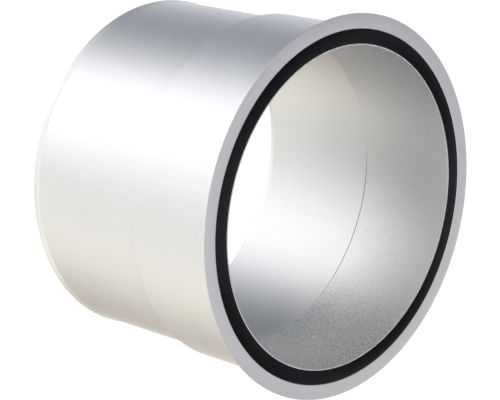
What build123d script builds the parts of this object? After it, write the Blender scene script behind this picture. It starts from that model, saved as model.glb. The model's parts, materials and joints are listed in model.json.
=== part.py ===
from build123d import *
from math import cos, radians, tan
import os

# Flue wall rosette: a flanged outer sleeve that is set into the wall, a shorter inner sleeve that
# takes the flue pipe, and a black seal that closes the gap between the two at the mouth.
# Both sleeves are round about the Y axis. The wall's face is the plane Y = 0: the flange lies in
# front of it, on the -Y side, and the barrel runs back into the wall along +Y.
# All sizes are in millimetres.

# Sheet that both sleeves are formed from
SHEET = 0.6
BEND_INSIDE = 0.15
SLIGHT_TURN = 20.0

# Inner sleeve
BORE_DIAMETER = 151.0
RIM_PROUD = 0.05
WEB_CLEARANCE = 0.3

# Seal ring
SEAL_WIDTH = 6.55
SEAL_DEPTH = 12.0
SEAL_CROWN = 0.5
SEAL_LAP = 0.25
SEAL_LAP_DEPTH = 0.5

# Outer sleeve
FLANGE_DIAMETER = 180.0
FRONT_DEPTH = 52.6
SHOULDER = 2.55
BARREL_LENGTH = 122.0
LIP_LENGTH = 3.0
LIP_FLARE = 0.6

# Radii that follow from the bore outwards
half_sheet = SHEET / 2
bend_middle = BEND_INSIDE + half_sheet
bore_radius = BORE_DIAMETER / 2
inner_middle = bore_radius + half_sheet
inner_outside = bore_radius + SHEET
front_inside = inner_outside + SEAL_WIDTH
front_middle = front_inside + half_sheet
rear_middle = front_middle - SHOULDER
flange_radius = FLANGE_DIAMETER / 2

# Places along the axis
flange_front = -SHEET
flange_middle = -half_sheet
shoulder_middle = FRONT_DEPTH - half_sheet
web_middle = shoulder_middle - SHEET


def bend(before, corner, after):
    """Points that round one corner of a sheet's middle line: the start, the middle and the end of
    the arc. The arc is so small that its two chords stand for it. A slight turn has no arc."""
    arriving = (corner - before).normalized()
    leaving = (after - corner).normalized()
    turn = arriving.get_angle(leaving)
    if turn < SLIGHT_TURN:
        return [corner]
    half_turn = radians(turn) / 2
    reach = bend_middle * tan(half_turn)
    cut = bend_middle / cos(half_turn) - bend_middle
    inwards = (leaving - arriving).normalized()
    return [corner - arriving * reach, corner + inwards * cut, corner + leaving * reach]


def bent_sheet(*corners):
    """Solid of a bent sheet turned about the Y axis. The corners, as (radius, y), are those of
    the line that runs through the middle of the sheet."""
    line = [Vector(*corner) for corner in corners]
    path = [line[0]]
    for before, corner, after in zip(line, line[1:], line[2:]):
        path += bend(before, corner, after)
    path.append(line[-1])
    section = trace(Polyline(*path), line_width=SHEET)
    return revolve(section, axis=Axis.Y)


def make_outer_sleeve():
    """Flange, front barrel, shoulder, rear barrel and flared lip, in one sheet."""
    return bent_sheet(
        (flange_radius, flange_middle),
        (front_middle, flange_middle),
        (front_middle, shoulder_middle),
        (rear_middle, shoulder_middle),
        (rear_middle, BARREL_LENGTH - LIP_LENGTH),
        (rear_middle + LIP_FLARE, BARREL_LENGTH),
    )


def make_inner_sleeve():
    """Straight sleeve with a web at its rear end, turned outwards, that sits on the shoulder."""
    return bent_sheet(
        (inner_middle, flange_front - RIM_PROUD),
        (inner_middle, web_middle),
        (front_inside - WEB_CLEARANCE, web_middle),
    )


def make_seal_ring():
    """Ring that fills the gap between the sleeves. Its edges are flush with the flange, its front is
    crowned between them, and its outer edge laps over the rounding of the flange's bend."""
    front = flange_front
    lap_start = front + SEAL_LAP_DEPTH
    back = front + SEAL_DEPTH
    lap_outside = front_inside + SEAL_LAP
    middle_radius = (inner_outside + lap_outside) / 2
    crown = ThreePointArc(
        (inner_outside, front),
        (middle_radius, front - SEAL_CROWN),
        (lap_outside, front),
    )
    sides = Polyline(
        (lap_outside, front),
        (front_inside, lap_start),
        (front_inside, back),
        (inner_outside, back),
        (inner_outside, front),
    )
    return revolve(make_face(crown + sides), axis=Axis.Y)


os.makedirs("parts", exist_ok=True)
PIECES = {
    "outer_sleeve": make_outer_sleeve(),
    "inner_sleeve": make_inner_sleeve(),
    "seal_ring": make_seal_ring(),
}
for node, piece in PIECES.items():
    export_step(piece, f"parts/{node}.step")
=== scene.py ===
import json
from math import ceil, cos, pi, radians, sin, tan

import bpy
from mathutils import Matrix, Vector


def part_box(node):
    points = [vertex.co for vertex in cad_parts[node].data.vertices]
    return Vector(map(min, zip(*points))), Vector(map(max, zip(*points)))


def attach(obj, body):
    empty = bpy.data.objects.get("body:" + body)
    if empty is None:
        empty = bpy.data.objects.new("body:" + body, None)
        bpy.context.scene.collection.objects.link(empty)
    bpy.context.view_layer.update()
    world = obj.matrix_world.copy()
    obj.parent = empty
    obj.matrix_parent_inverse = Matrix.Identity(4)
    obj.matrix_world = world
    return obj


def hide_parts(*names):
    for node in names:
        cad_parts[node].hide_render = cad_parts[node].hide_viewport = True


# Flue wall rosette: a flanged outer sleeve, an inner sleeve for the flue pipe and the black seal
# between them. Each is round about the Y axis, with the wall's face at Y = 0. Sizes are in metres.

MM = 0.001

# Sizes that the frame doesn't give
SHOULDER = 2.55 * MM
BEND_INSIDE = 0.15 * MM
LIP_LENGTH = 3.0 * MM
LIP_FLARE = 0.6 * MM
CUT_EDGE_ROUND = 0.07 * MM
WEB_CLEARANCE = 0.3 * MM
SEAL_CROWN = 0.5 * MM
SEAL_LAP = 0.25 * MM
SEAL_LAP_DEPTH = 0.5 * MM
SEAL_EDGE_ROUND = 0.05 * MM

# How finely the round pieces are drawn. The ease is a narrow strip of flat sheet beside each bend,
# which keeps the smooth shading of the bend off the rest of the sheet.
TURN_STEPS = 480
BEND_STEP = radians(9)
EASE = 0.06 * MM
CUT_EDGE_STEPS = 3
SEAL_EDGE_STEPS = 4
CROWN_STEPS = 20

# A noise from 0 to 1 seldom leaves this range
NOISE_LOW = 0.3
NOISE_HIGH = 0.7

# Sheet metal's look
SHEET_BRIGHTNESS = 0.5
SHEET_ROUGHNESS = 0.5
SHEET_ROUGHNESS_SPREAD = 0.01

# Fine grain of the sheet, as a speckle of its tone and a bump
GRAIN_SIZE = 1.0 * MM
GRAIN_SEED = 0
OUTER_GRAIN_HEIGHT = 0.012 * MM
INNER_GRAIN_HEIGHT = 0.06 * MM
OUTER_SPECKLE = 0.012
INNER_SPECKLE = 0.065

# Painted glints: a coarser speckle of the sheet's tone at the top and the bottom of a sleeve, standing
# in for the glints that grazing light draws from the grain. It starts where the way outwards has this
# much of the upright in it, and is full where it has all of it.
OUTER_PAINTED_GLINT = 0.08
INNER_PAINTED_GLINT = 0.6
GLINT_SIZE = 0.5 * MM
GLINT_SEED = 13
GLINT_START = 0.62
GLINT_FULL = 1.0
UPRIGHT = 90.0

# Clouds, and streaks along the axis, which the rolls left on the sheet
CLOUD_SIZE = 25.0 * MM
CLOUD_SEED = 3
CLOUD_CONTRAST = 0.006
STREAK_SIZE = 1.5 * MM
STREAK_SEED = 7
STREAK_STRETCH = 25.0
STREAK_CONTRAST = 0.012
STREAK_HEIGHT = 0.006 * MM

# Painted shade: a dark line on the inner sleeve's rear bend, standing in for the dark it reflects on
# one side, with its middle and its spread in degrees
BEND_SHADE_REACH = 0.3 * MM
BEND_SHADE_DARKNESS = 0.3
BEND_SHADE_MIDDLE = -25.0
BEND_SHADE_SPREAD = 40.0

# Rubber's look
RUBBER_CLEAN = (0.0010, 0.0010, 0.0016)
RUBBER_DUSTY = (0.0020, 0.0020, 0.0028)
RUBBER_GLOSS = 0.18
RUBBER_GLOSS_TINT = (0.93, 0.93, 1.0)
RUBBER_ROUGHNESS = 0.55
RUBBER_ROUGHNESS_SPREAD = 0.03
RUBBER_LINES = 1.0
QUARTER_TURN = 0.25
DUST_SIZE = 2.0 * MM
DUST_SEED = 11
RUBBER_GRAIN_SIZE = 0.35 * MM
RUBBER_GRAIN_SEED = 5
RUBBER_GRAIN_HEIGHT = 0.004 * MM

# Camera, with its yaw and its pitch in degrees and its lens and sensor in millimetres
CAMERA_SPOT = Vector((-689.04, -609.70, 254.22)) * MM
CAMERA_YAW = 45.846
CAMERA_PITCH = 15.227
CAMERA_LENS = 149.84
SENSOR_WIDTH = 36.0
CAMERA_SIGHT = 20.0

# Stage
FLOOR_DROP = 0.5 * MM
FLOOR_SIDES = 96
STAGE_RADIUS = 5.0
BACKDROP_SEGMENTS = 64
BACKDROP_RINGS = 32
STAGE_WHITE = (1.05, 1.05, 1.05)

# Light tent. Each panel has an azimuth from +X towards +Y, an elevation, a radius and a soft edge,
# in degrees, and a colour.
TENT_COLOUR = (0.55, 0.6, 0.7)
PANELS = {
    "overhead": (-65, 50, 60, 5, (0.9, 1.0, 1.25)),
    "low_back": (55, -30, 65, 5, (2.7, 2.6, 2.25)),
    "right_back": (55, 40, 55, 5, (1.5, 1.5, 1.6)),
    "high_back": (115, 35, 30, 10, (3.0, 3.0, 3.05)),
    "left": (160, 5, 15, 5, (2.9, 2.95, 2.6)),
    "low_left": (-175, -25, 25, 10, (3.35, 3.35, 3.4)),
    "high_back_flag": (65, 45, 25, 5, (0.1, 0.15, 0.2)),
    "low_back_flag": (80, -35, 25, 15, (0.2, 0.15, 0.15)),
    "under_left": (165, -55, 15, 5, (3.35, 3.0, 2.35)),
    "front": (-100, 15, 60, 5, (2.25, 2.2, 2.3)),
    "front_flag": (-65, 35, 40, 15, (0.15, 0.15, 0.15)),
    "floor_flag": (-95, -65, 40, 15, (0.2, 0.15, 0.15)),
}

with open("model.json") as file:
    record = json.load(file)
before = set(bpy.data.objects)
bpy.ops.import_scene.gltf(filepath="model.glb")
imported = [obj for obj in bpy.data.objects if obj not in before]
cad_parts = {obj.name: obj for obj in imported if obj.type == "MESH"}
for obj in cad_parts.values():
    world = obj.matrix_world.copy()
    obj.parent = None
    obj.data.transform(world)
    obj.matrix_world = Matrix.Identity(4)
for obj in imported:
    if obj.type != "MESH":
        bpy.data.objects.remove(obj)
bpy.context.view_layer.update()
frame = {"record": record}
mounts = {mount["name"]: mount for mount in frame["record"]["mounts"]}

# Radii and places along the axis, from the frame
outer_low, outer_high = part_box("outer_sleeve")
inner_low, inner_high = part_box("inner_sleeve")
seal_low, seal_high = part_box("seal_ring")
sheet = -outer_low.y
half_sheet = sheet / 2
flange_radius = outer_high.x
front_outside = mounts["wall_barrel"]["dims"]["r_mm"] * MM
bore_radius = mounts["flue_bore"]["dims"]["r_mm"] * MM
front_middle = front_outside - half_sheet
front_inside = front_outside - sheet
rear_middle = front_middle - SHOULDER
inner_middle = bore_radius + half_sheet
inner_outside = bore_radius + sheet
web_middle = inner_high.y - half_sheet
shoulder_middle = web_middle + sheet
bend_middle = BEND_INSIDE + half_sheet


def bend(before, corner, after):
    """Steps round one corner of a sheet's middle line: each is a point and the way the line runs."""
    arriving = (corner - before).normalized()
    leaving = (after - corner).normalized()
    turn = arriving.angle_signed(leaving)
    reach = bend_middle * tan(abs(turn) / 2)
    side = 1 if turn > 0 else -1
    across = Vector((arriving.y, -arriving.x)) * side
    start = corner - arriving * reach
    centre = start + across * bend_middle
    count = max(2, ceil(abs(turn) / BEND_STEP))
    steps = [(start - arriving * EASE, arriving)]
    for i in range(count + 1):
        angle = turn * i / count
        way = turned(arriving, angle)
        steps.append((centre - Vector((way.y, -way.x)) * side * bend_middle, way))
    steps.append((corner + leaving * (reach + EASE), leaving))
    return steps


def turned(way, angle):
    """A direction turned clockwise by an angle, the way in which angle_signed counts."""
    return Vector((way.x * cos(angle) + way.y * sin(angle), way.y * cos(angle) - way.x * sin(angle)))


def round_end(point, way):
    """Points round a sheet's cut end, from its left side to its right side."""
    left = Vector((-way.y, way.x))
    points = []
    for side in (1, -1):
        centre = point - way * CUT_EDGE_ROUND + left * side * (half_sheet - CUT_EDGE_ROUND)
        for i in range(CUT_EDGE_STEPS + 1):
            angle = pi / 2 * (i if side > 0 else CUT_EDGE_STEPS - i) / CUT_EDGE_STEPS
            points.append(centre + (left * side * cos(angle) + way * sin(angle)) * CUT_EDGE_ROUND)
    return points


def sheet_section(*corners):
    """Closed outline of a bent sheet, whose middle line runs through the corners as (radius, y)."""
    line = [Vector(corner) for corner in corners]
    steps = []
    for before, corner, after in zip(line, line[1:], line[2:]):
        steps += bend(before, corner, after)
    left_side = [point + Vector((-way.y, way.x)) * half_sheet for point, way in steps]
    right_side = [point + Vector((way.y, -way.x)) * half_sheet for point, way in steps]
    last_way = (line[-1] - line[-2]).normalized()
    first_way = (line[0] - line[1]).normalized()
    return left_side + round_end(line[-1], last_way) + right_side[::-1] + round_end(line[0], first_way)


def revolved(name, section):
    """Mesh object of a closed outline, as (radius, y), turned about the Y axis."""
    vertices = []
    faces = []
    count = len(section)
    for turn in range(TURN_STEPS):
        angle = 2 * pi * turn / TURN_STEPS
        vertices += [(point.x * cos(angle), point.y, point.x * sin(angle)) for point in section]
    for turn in range(TURN_STEPS):
        here = turn * count
        there = (turn + 1) % TURN_STEPS * count
        for i in range(count):
            j = (i + 1) % count
            faces.append((here + i, here + j, there + j, there + i))
    mesh = bpy.data.meshes.new(name)
    mesh.from_pydata(vertices, [], faces)
    mesh.shade_smooth()
    piece = bpy.data.objects.new(name, mesh)
    bpy.context.scene.collection.objects.link(piece)
    return piece


def stand_for(piece, node, material):
    """The piece gets the material, rides on the root body and is shown in place of the node, which is
    hidden.
    """
    piece.data.materials.append(material)
    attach(piece, "root")
    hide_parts(node)


def make_outer_sleeve():
    """Flange, front barrel, shoulder, rear barrel and flared lip, in one sheet."""
    flare_start = outer_high.y - LIP_LENGTH
    return revolved("outer_sleeve_sheet", sheet_section(
        (flange_radius, -half_sheet),
        (front_middle, -half_sheet),
        (front_middle, shoulder_middle),
        (rear_middle, shoulder_middle),
        (rear_middle, flare_start),
        (rear_middle + LIP_FLARE, outer_high.y - half_sheet * LIP_FLARE / LIP_LENGTH),
    ))


def make_inner_sleeve():
    """Straight sleeve with a web at its rear end, turned outwards, that sits on the shoulder."""
    return revolved("inner_sleeve_sheet", sheet_section(
        (inner_middle, inner_low.y),
        (inner_middle, web_middle),
        (front_inside - WEB_CLEARANCE, web_middle),
    ))


def rounded_edge(radius, front, side):
    """Points of a rounded front edge of the seal, at its inner side, -1, or its outer side, 1."""
    centre = Vector((radius, front + SEAL_EDGE_ROUND))
    angles = [pi / 2 * i / SEAL_EDGE_STEPS for i in range(SEAL_EDGE_STEPS + 1)][::-side]
    return [centre + Vector((side * cos(angle), -sin(angle))) * SEAL_EDGE_ROUND for angle in angles]


def make_seal():
    """Ring between the sleeves. Its front is crowned between rounded edges, and its outer edge laps
    over the rounding of the flange's bend."""
    front = seal_low.y + SEAL_CROWN
    back = seal_high.y
    lap_outside = front_inside + SEAL_LAP
    middle = (inner_outside + lap_outside) / 2
    reach = (lap_outside - inner_outside) / 2 - SEAL_EDGE_ROUND
    section = [Vector((inner_outside, back)), Vector((inner_outside, front + SEAL_EDGE_ROUND + EASE))]
    section += rounded_edge(middle - reach, front, -1)
    for i in range(1, CROWN_STEPS):
        share = 2 * i / CROWN_STEPS - 1
        section.append(Vector((middle + share * reach, front - SEAL_CROWN * (1 - share ** 2))))
    section += rounded_edge(middle + reach, front, 1)
    section += [Vector((front_inside, front + SEAL_LAP_DEPTH)), Vector((front_inside, back))]
    return revolved("seal_profile", section)


def noise(tree, place, size, seed, detail=2):
    """Grey noise from 0 to 1 whose features are about as large as the size given."""
    texture = tree.nodes.new("ShaderNodeTexNoise")
    texture.noise_dimensions = "4D"
    texture.inputs["W"].default_value = seed
    texture.inputs["Scale"].default_value = 1 / size
    texture.inputs["Detail"].default_value = detail
    tree.links.new(place, texture.inputs["Vector"])
    return texture.outputs["Fac"]


def stretched(tree, place, stretch):
    """The place with its measures along X, Y and Z divided by how far the pattern is drawn out."""
    mapping = tree.nodes.new("ShaderNodeMapping")
    mapping.inputs["Scale"].default_value = [1 / share for share in stretch]
    tree.links.new(place, mapping.inputs["Vector"])
    return mapping.outputs["Vector"]


def ramp(tree, value, from_low, from_high, to_low, to_high, smooth=False):
    """A value carried over from one range to another."""
    node = tree.nodes.new("ShaderNodeMapRange")
    node.interpolation_type = "SMOOTHSTEP" if smooth else "LINEAR"
    node.inputs["From Min"].default_value = from_low
    node.inputs["From Max"].default_value = from_high
    node.inputs["To Min"].default_value = to_low
    node.inputs["To Max"].default_value = to_high
    tree.links.new(value, node.inputs["Value"])
    return node.outputs["Result"]


def math_node(tree, operation, first):
    node = tree.nodes.new("ShaderNodeMath")
    node.operation = operation
    tree.links.new(first, node.inputs[0])
    return node


def times(tree, first, second):
    node = math_node(tree, "MULTIPLY", first)
    tree.links.new(second, node.inputs[1])
    return node.outputs["Value"]


def bumped(tree, heights, shader):
    """Adds bumps to a shader: each is a noise and its height."""
    normal = None
    for pattern, height in heights:
        bump = tree.nodes.new("ShaderNodeBump")
        bump.inputs["Distance"].default_value = height
        tree.links.new(pattern, bump.inputs["Height"])
        if normal:
            tree.links.new(normal, bump.inputs["Normal"])
        normal = bump.outputs["Normal"]
    tree.links.new(normal, shader.inputs["Normal"])


def vector_node(tree, operation, first):
    node = tree.nodes.new("ShaderNodeVectorMath")
    node.operation = operation
    tree.links.new(first, node.inputs[0])
    return node


def round_place(tree, place):
    """Where a point lies on a round piece: its distance along the axis, its radius and the way
    outwards from the axis."""
    split = tree.nodes.new("ShaderNodeSeparateXYZ")
    tree.links.new(place, split.inputs["Vector"])
    flat = vector_node(tree, "MULTIPLY", place)
    flat.inputs[1].default_value = (1, 0, 1)
    radius = vector_node(tree, "LENGTH", flat.outputs["Vector"])
    outwards = vector_node(tree, "NORMALIZE", flat.outputs["Vector"])
    return split.outputs["Y"], radius.outputs["Value"], outwards.outputs["Vector"]


def towards(tree, outwards, angle):
    """Cosine of the angle between the way outwards and one at an angle from +X towards +Z."""
    facing = vector_node(tree, "DOT_PRODUCT", outwards)
    facing.inputs[1].default_value = (cos(radians(angle)), 0, sin(radians(angle)))
    return facing.outputs["Value"]


def painted_bend_shade(tree, place):
    """Factor that is 1 on the sheet and dark on the inner sleeve's sharp rear bend: painted shade, a
    dark line standing in for the dark the bend reflects. It is strong on one side and fades round the
    sleeve."""
    y, radius, outwards = round_place(tree, place)
    bend_start = inner_high.y - BEND_INSIDE - sheet
    along = ramp(tree, y, bend_start - BEND_SHADE_REACH, bend_start, 0, 1, smooth=True)
    across = ramp(tree, radius, inner_outside, inner_outside + BEND_SHADE_REACH, 1, 0, smooth=True)
    nearness = towards(tree, outwards, BEND_SHADE_MIDDLE)
    around = ramp(tree, nearness, cos(radians(BEND_SHADE_SPREAD)), 1, 0, 1, smooth=True)
    shade_line = times(tree, times(tree, along, across), around)
    return ramp(tree, shade_line, 0, 1, 1, BEND_SHADE_DARKNESS)


def painted_glints(tree, place, contrast):
    """Factor round 1 for painted glints: a coarser speckle at the top and the bottom, where grazing
    light makes the grain glint.
    """
    outwards = round_place(tree, place)[2]
    upright = math_node(tree, "ABSOLUTE", towards(tree, outwards, UPRIGHT)).outputs["Value"]
    patch = ramp(tree, upright, GLINT_START, GLINT_FULL, 0, 1, smooth=True)
    pattern = noise(tree, place, GLINT_SIZE, GLINT_SEED)
    glint = ramp(tree, pattern, NOISE_LOW, NOISE_HIGH, -contrast, contrast)
    return ramp(tree, times(tree, patch, glint), -1, 1, 0, 2)


def varied(tree, pattern, contrast):
    """Factor round 1 that follows a noise, as far as the contrast to each side."""
    return ramp(tree, pattern, NOISE_LOW, NOISE_HIGH, 1 - contrast, 1 + contrast)


def roughened(tree, pattern, roughness, spread, shader):
    """A roughness that follows a noise, as far as the spread to each side."""
    rough = ramp(tree, pattern, NOISE_LOW, NOISE_HIGH, roughness - spread, roughness + spread)
    tree.links.new(rough, shader.inputs["Roughness"])


def metal(name, speckle, glint, grain_height, shade_the_bend=False):
    """Bright aluminised sheet, satin, with a fine uneven grain, faint rolling streaks and clouds."""
    material = bpy.data.materials.new(name)
    material.use_nodes = True
    tree = material.node_tree
    shader = tree.nodes["Principled BSDF"]
    shader.inputs["Metallic"].default_value = 1.0
    place = tree.nodes.new("ShaderNodeTexCoord").outputs["Object"]
    grain = noise(tree, place, GRAIN_SIZE, GRAIN_SEED)
    clouds = noise(tree, place, CLOUD_SIZE, CLOUD_SEED)
    drawn_out = stretched(tree, place, (1, STREAK_STRETCH, 1))
    streaks = noise(tree, drawn_out, STREAK_SIZE, STREAK_SEED)
    tone = times(tree, varied(tree, clouds, CLOUD_CONTRAST), varied(tree, streaks, STREAK_CONTRAST))
    tone = times(tree, tone, varied(tree, grain, speckle))
    # Painted glints at the top and the bottom of the sleeve
    tone = times(tree, tone, painted_glints(tree, place, glint))
    # Painted shade: a dark line on the inner sleeve's rear bend
    if shade_the_bend:
        tone = times(tree, tone, painted_bend_shade(tree, place))
    level = ramp(tree, tone, 0, 2, 0, 2 * SHEET_BRIGHTNESS)
    grey = tree.nodes.new("ShaderNodeCombineColor")
    for channel in ("Red", "Green", "Blue"):
        tree.links.new(level, grey.inputs[channel])
    tree.links.new(grey.outputs["Color"], shader.inputs["Base Color"])
    roughened(tree, clouds, SHEET_ROUGHNESS, SHEET_ROUGHNESS_SPREAD, shader)
    bumped(tree, [(grain, grain_height), (streaks, STREAK_HEIGHT)], shader)
    return material


def rubber(name):
    """Black extruded rubber, half matt, whose fine lines run round with the ring."""
    material = bpy.data.materials.new(name)
    material.use_nodes = True
    tree = material.node_tree
    shader = tree.nodes["Principled BSDF"]
    shader.inputs["Specular IOR Level"].default_value = RUBBER_GLOSS
    shader.inputs["Specular Tint"].default_value = (*RUBBER_GLOSS_TINT, 1)
    shader.inputs["Anisotropic"].default_value = RUBBER_LINES
    shader.inputs["Anisotropic Rotation"].default_value = QUARTER_TURN
    round_about = tree.nodes.new("ShaderNodeTangent")
    round_about.direction_type = "RADIAL"
    round_about.axis = "Y"
    tree.links.new(round_about.outputs["Tangent"], shader.inputs["Tangent"])
    place = tree.nodes.new("ShaderNodeTexCoord").outputs["Object"]
    dust = noise(tree, place, DUST_SIZE, DUST_SEED, detail=3)
    colour = tree.nodes.new("ShaderNodeMix")
    colour.data_type = "RGBA"
    colour.inputs["A"].default_value = (*RUBBER_CLEAN, 1)
    colour.inputs["B"].default_value = (*RUBBER_DUSTY, 1)
    tree.links.new(dust, colour.inputs["Factor"])
    tree.links.new(colour.outputs["Result"], shader.inputs["Base Color"])
    roughened(tree, dust, RUBBER_ROUGHNESS, RUBBER_ROUGHNESS_SPREAD, shader)
    grain = noise(tree, place, RUBBER_GRAIN_SIZE, RUBBER_GRAIN_SEED, detail=1)
    bumped(tree, [(grain, RUBBER_GRAIN_HEIGHT)], shader)
    return material


def glowing(name, colour):
    """A material that shows one colour and takes no light."""
    material = bpy.data.materials.new(name)
    material.use_nodes = True
    tree = material.node_tree
    tree.nodes.clear()
    emission = tree.nodes.new("ShaderNodeEmission")
    emission.inputs["Color"].default_value = (*colour, 1)
    output = tree.nodes.new("ShaderNodeOutputMaterial")
    tree.links.new(emission.outputs["Emission"], output.inputs["Surface"])
    return material


def seen_only_by_the_camera(thing):
    thing.visible_diffuse = False
    thing.visible_glossy = False
    thing.visible_transmission = False
    thing.visible_volume_scatter = False
    thing.visible_shadow = False


def make_stage():
    """A plain white floor under the object and a white backdrop all round."""
    bpy.ops.mesh.primitive_circle_add(vertices=FLOOR_SIDES, radius=STAGE_RADIUS, fill_type="NGON")
    floor = bpy.context.object
    floor.name = "floor"
    floor.location.z = outer_low.z - FLOOR_DROP
    bpy.ops.mesh.primitive_uv_sphere_add(
        segments=BACKDROP_SEGMENTS,
        ring_count=BACKDROP_RINGS,
        radius=STAGE_RADIUS,
    )
    backdrop = bpy.context.object
    backdrop.name = "backdrop"
    white = glowing("white_stage", STAGE_WHITE)
    for thing in (floor, backdrop):
        thing.data.materials.append(white)
        seen_only_by_the_camera(thing)


def soft_panel(tree, behind, azimuth, elevation, radius, softness, colour):
    """A round panel of the light tent, with a soft edge, over the light behind it. Its place is an
    azimuth from +X towards +Y and an elevation; these, its radius and its edge are in degrees."""
    flat = cos(radians(elevation))
    middle = (flat * cos(radians(azimuth)), flat * sin(radians(azimuth)), sin(radians(elevation)))
    direction = tree.nodes.new("ShaderNodeTexCoord").outputs["Generated"]
    nearness = vector_node(tree, "DOT_PRODUCT", direction)
    nearness.inputs[1].default_value = middle
    angle = math_node(tree, "ARCCOSINE", nearness.outputs["Value"]).outputs["Value"]
    edge_outside = radians(radius + softness)
    edge_inside = radians(radius - softness)
    cover = ramp(tree, angle, edge_outside, edge_inside, 0, 1, smooth=True)
    mix = tree.nodes.new("ShaderNodeMix")
    mix.data_type = "RGBA"
    mix.inputs["B"].default_value = (*colour, 1)
    tree.links.new(cover, mix.inputs["Factor"])
    tree.links.new(behind, mix.inputs["A"])
    return mix.outputs["Result"]


def make_light_tent():
    """The studio: a grey tent with bright panels round the object, and dark flags that give the
    sheet its dark bands. A later panel lies over the earlier ones."""
    world = bpy.data.worlds.new("studio")
    bpy.context.scene.world = world
    world.use_nodes = True
    tree = world.node_tree
    tent = tree.nodes.new("ShaderNodeRGB")
    tent.outputs["Color"].default_value = (*TENT_COLOUR, 1)
    light = tent.outputs["Color"]
    for panel in PANELS.values():
        light = soft_panel(tree, light, *panel)
    tree.links.new(light, tree.nodes["Background"].inputs["Color"])


def make_camera():
    data = bpy.data.cameras.new("camera")
    data.lens = CAMERA_LENS
    data.sensor_width = SENSOR_WIDTH
    data.sensor_fit = "HORIZONTAL"
    data.clip_end = CAMERA_SIGHT
    camera = bpy.data.objects.new("camera", data)
    camera.location = CAMERA_SPOT
    camera.rotation_euler = (radians(90 - CAMERA_PITCH), 0, radians(-CAMERA_YAW))
    bpy.context.scene.collection.objects.link(camera)
    bpy.context.scene.camera = camera


def use_plain_tones():
    """The picture's tones are those of the light, with no film look over them."""
    view = bpy.context.scene.view_settings
    view.view_transform = "Standard"
    view.look = "None"


outer_metal = metal("outer_metal", OUTER_SPECKLE, OUTER_PAINTED_GLINT, OUTER_GRAIN_HEIGHT)
# The inner sleeve gets the painted shade line on its rear bend
inner_metal = metal("inner_metal", INNER_SPECKLE, INNER_PAINTED_GLINT, INNER_GRAIN_HEIGHT, shade_the_bend=True)
stand_for(make_outer_sleeve(), "outer_sleeve", outer_metal)
stand_for(make_inner_sleeve(), "inner_sleeve", inner_metal)
stand_for(make_seal(), "seal_ring", rubber("seal_rubber"))
make_stage()
make_light_tent()
make_camera()
use_plain_tones()
